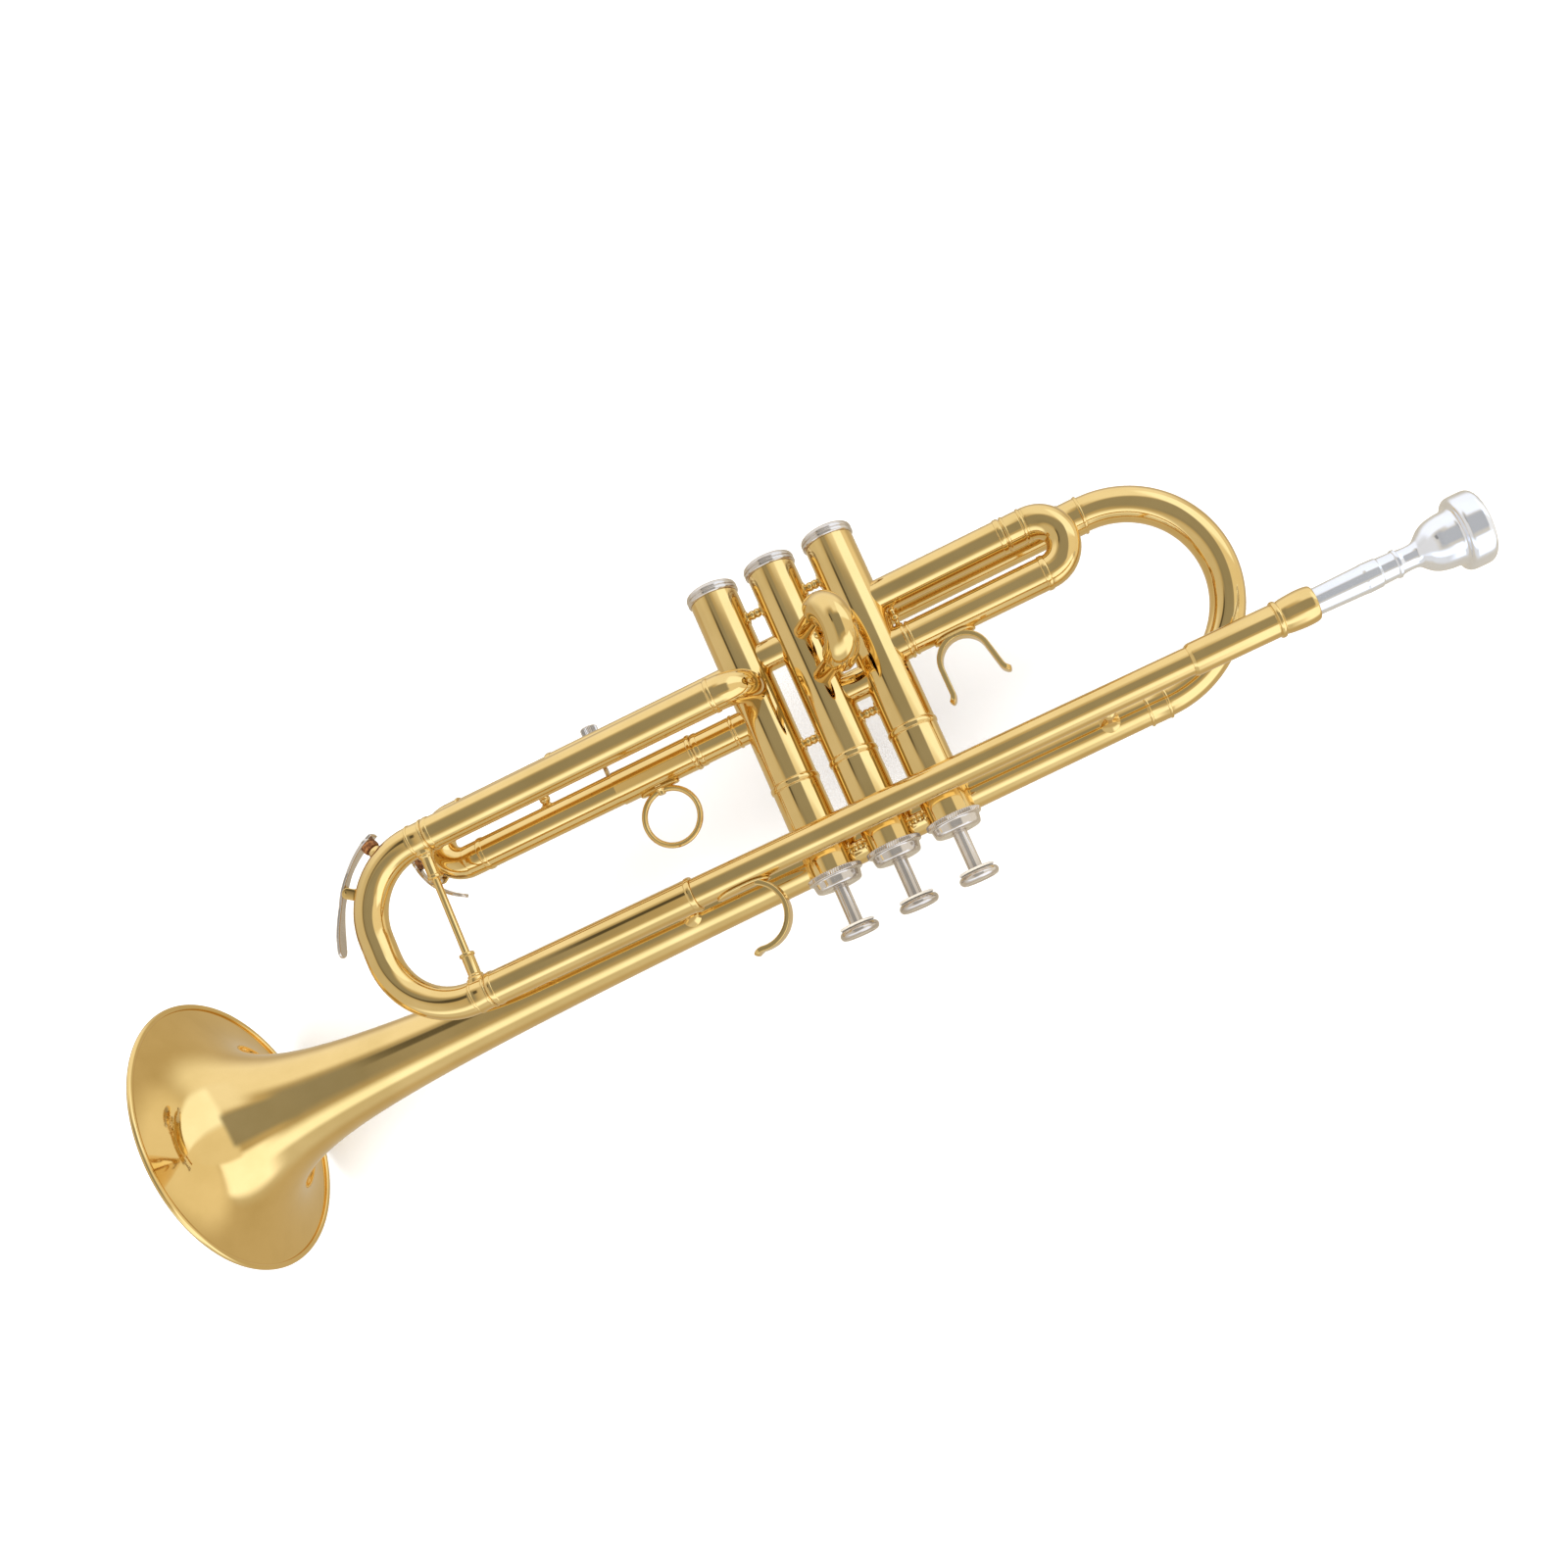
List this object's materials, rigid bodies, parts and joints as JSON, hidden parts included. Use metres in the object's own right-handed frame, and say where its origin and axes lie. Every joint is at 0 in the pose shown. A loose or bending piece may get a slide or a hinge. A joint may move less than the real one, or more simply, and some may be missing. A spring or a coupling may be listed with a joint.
{
  "type": "trumpet",
  "caption": "Piston-valve trumpet with pull-out slides, spring-returned valves, water keys, finger ring, finger hook and a loose mouthpiece.",
  "frame": {"origin": "under the middle of the outline, level with the lowest point of the bell's rim, with the horn lying on its bell side", "axes": "+X along the horn towards the bell's mouth, +Y towards the finger buttons, +Z from the bell's side to the leadpipe's side"},
  "size_m": [0.5508, 0.1745, 0.122],
  "materials": {
    "lacquered_brass": "polished, clear gold lacquer",
    "nickel_plate": "polished nickel plate",
    "silver_plate": "polished silver plate",
    "piston_nickel": "lapped nickel plate",
    "spring_steel": "drawn wire",
    "felt": "pressed wool felt",
    "cork": "cut cork",
    "nylon": "moulded"
  },
  "bodies": {
    "horn": {"bell": "lacquered_brass", "bell_rim_wire": "lacquered_brass", "bell_bow": "lacquered_brass", "bell_tail": "lacquered_brass", "bell_ferrules": "lacquered_brass", "bell_braces": "lacquered_brass", "leadpipe": "lacquered_brass", "mouthpiece_receiver": "lacquered_brass", "leadpipe_sleeve": "lacquered_brass", "finger_hook": "lacquered_brass", "lower_sleeve": "lacquered_brass", "valve_casing_1": "lacquered_brass", "valve_casing_2": "lacquered_brass", "valve_casing_3": "lacquered_brass", "valve_braces": "lacquered_brass", "crossover_tubes": "lacquered_brass", "bottom_caps": "nickel_plate", "top_caps": "nickel_plate", "valve_guides": "nylon", "valve_spring_1": "spring_steel", "valve_spring_2": "spring_steel", "valve_spring_3": "spring_steel", "first_slide_sleeves": "lacquered_brass", "second_slide_sleeves": "lacquered_brass", "third_slide_sleeves": "lacquered_brass", "screw_post": "nickel_plate"},
    "valve_1": {"piston_1": "piston_nickel", "valve_felts_1": "felt", "finger_button_1": "nickel_plate"},
    "valve_2": {"piston_2": "piston_nickel", "valve_felts_2": "felt", "finger_button_2": "nickel_plate"},
    "valve_3": {"piston_3": "piston_nickel", "valve_felts_3": "felt", "finger_button_3": "nickel_plate"},
    "tuning_slide": {"tuning_slide_legs": "lacquered_brass", "tuning_slide_bow": "lacquered_brass", "tuning_slide_brace": "lacquered_brass", "water_key_saddle": "lacquered_brass", "water_key_spring": "spring_steel"},
    "water_key": {"water_key_lever": "nickel_plate", "water_key_cork": "cork"},
    "first_slide": {"first_slide_legs": "lacquered_brass", "first_slide_bow": "lacquered_brass", "thumb_saddle": "lacquered_brass"},
    "second_slide": {"second_slide_legs": "lacquered_brass", "second_slide_bow": "lacquered_brass", "second_slide_knob": "lacquered_brass"},
    "third_slide": {"third_slide_legs": "lacquered_brass", "third_slide_bow": "lacquered_brass", "third_slide_brace": "lacquered_brass", "third_slide_ring": "lacquered_brass", "third_key_saddle": "lacquered_brass", "third_key_spring": "spring_steel"},
    "third_key": {"third_key_lever": "nickel_plate", "third_key_cork": "cork"},
    "stop_screw": {"thumb_screw": "nickel_plate"},
    "mouthpiece": {"mouthpiece": "silver_plate"}
  },
  "joints": [
    {"name": "valve_1_press", "type": "slide", "parent": "horn", "child": "valve_1", "axis": [0, -1, 0], "range_m": [0, 0.0154], "stiffness_N_per_m": 60, "springref_m": -0.03, "deforming": ["valve_spring_1"]},
    {"name": "valve_2_press", "type": "slide", "parent": "horn", "child": "valve_2", "axis": [0, -1, 0], "range_m": [0, 0.0154], "stiffness_N_per_m": 60, "springref_m": -0.03, "deforming": ["valve_spring_2"]},
    {"name": "valve_3_press", "type": "slide", "parent": "horn", "child": "valve_3", "axis": [0, -1, 0], "range_m": [0, 0.0154], "stiffness_N_per_m": 60, "springref_m": -0.03, "deforming": ["valve_spring_3"]},
    {"name": "tuning_slide_pull", "type": "slide", "parent": "horn", "child": "tuning_slide", "axis": [1, 0, 0], "range_m": [0, 0.06]},
    {"name": "water_key_press", "type": "hinge", "parent": "tuning_slide", "child": "water_key", "pos_m": [0.16124, -0.03382, 0.1077], "axis": [0, 0, 1], "range_deg": [0, 12], "stiffness_Nm_per_rad": 0.03, "springref_deg": -34.38},
    {"name": "first_slide_pull", "type": "slide", "parent": "horn", "child": "first_slide", "axis": [-1, 0, 0], "range_m": [0, 0.035]},
    {"name": "second_slide_pull", "type": "slide", "parent": "horn", "child": "second_slide", "axis": [-0.5592, 0, 0.829], "range_m": [0, 0.01]},
    {"name": "third_slide_pull", "type": "slide", "parent": "horn", "child": "third_slide", "axis": [1, 0, 0], "range_m": [0, 0.03]},
    {"name": "third_key_press", "type": "hinge", "parent": "third_slide", "child": "third_key", "pos_m": [0.13599, -0.02984, 0.0842], "axis": [0, 0, 1], "range_deg": [0, 12], "stiffness_Nm_per_rad": 0.03, "springref_deg": -34.38},
    {"name": "stop_screw_turn", "type": "hinge", "parent": "horn", "child": "stop_screw", "pos_m": [0.0559, -0.05375, 0.075], "axis": [0, 1, 0], "continuous": true},
    {"name": "mouthpiece_draw", "type": "slide", "parent": "horn", "child": "mouthpiece", "axis": [-1, 0, 0], "range_m": [0, 0.03]}
  ]
}
